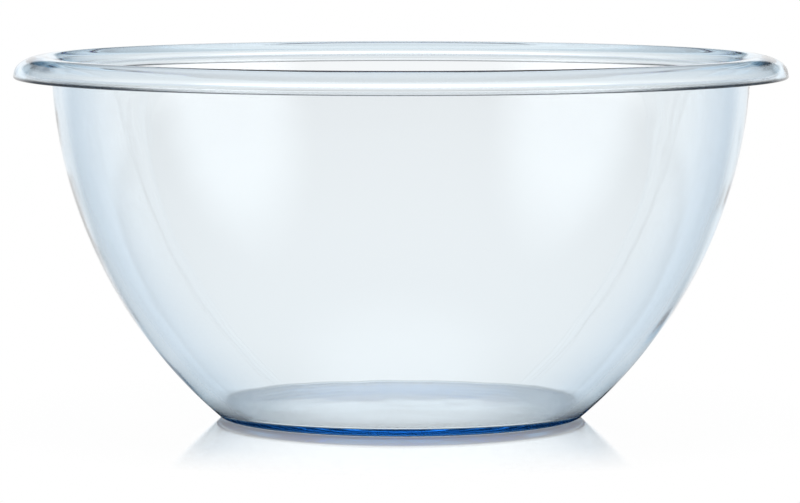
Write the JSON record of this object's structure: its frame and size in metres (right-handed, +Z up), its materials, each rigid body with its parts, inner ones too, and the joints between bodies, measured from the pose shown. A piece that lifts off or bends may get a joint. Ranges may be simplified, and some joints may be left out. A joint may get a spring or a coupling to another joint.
{
  "type": "salad bowl",
  "caption": "Round salad bowl of clear pale blue pressed glass, with a curved wall, a flat standing foot and a wide rolled rim that the fingers hold.",
  "frame": {"origin": "middle of the foot, on the surface that the bowl stands on", "axes": "+Z up along the bowl's axis of turning, from the foot to the mouth"},
  "size_m": [0.26, 0.26, 0.1219],
  "materials": {
    "blue_glass": "clear glass with a pale blue tint and a fire-polished gloss"
  },
  "bodies": {
    "root": {"glass_bowl": "blue_glass"}
  },
  "joints": []
}
